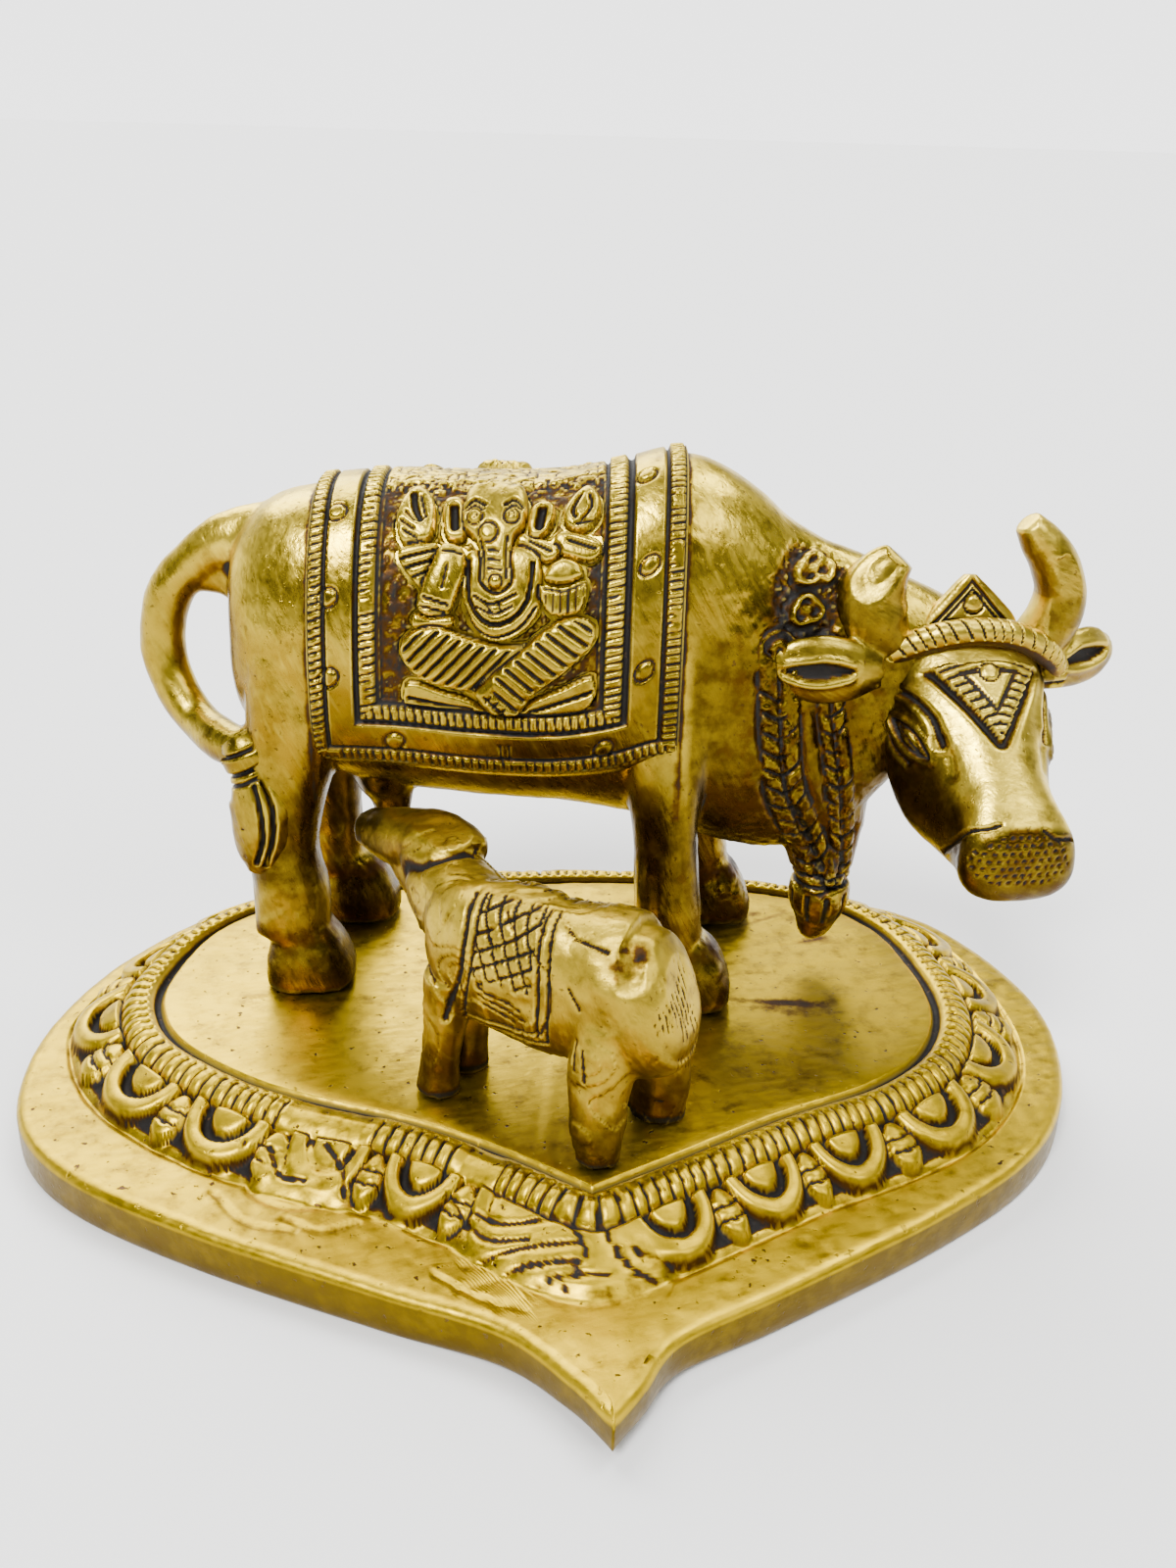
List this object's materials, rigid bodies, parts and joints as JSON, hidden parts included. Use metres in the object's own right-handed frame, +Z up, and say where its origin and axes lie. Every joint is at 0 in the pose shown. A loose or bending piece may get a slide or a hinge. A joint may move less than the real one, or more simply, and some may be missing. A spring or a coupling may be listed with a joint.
{
  "type": "kamdhenu cow and calf figure",
  "caption": "Cast brass Kamdhenu cow with a figured saddle cloth, its calf nosing at the udder, on a leaf-shaped base with a band of lotus petals.",
  "frame": {"origin": "on the flat underside of the leaf-shaped base, below the middle of its field", "axes": "+X from the cow's tail to her head, +Z up, and -Y towards the leaf's pointed tip"},
  "size_m": [0.1354, 0.1076, 0.0785],
  "materials": {
    "base_brass": "polished brass, amber patina, dark in the recesses",
    "cow_brass": "hand-filed polished brass, dark in the recesses",
    "calf_brass": "hand-filed brass, dark in the recesses"
  },
  "bodies": {
    "root": {"leaf_base": "base_brass", "cow": "cow_brass", "calf": "calf_brass"}
  },
  "joints": []
}
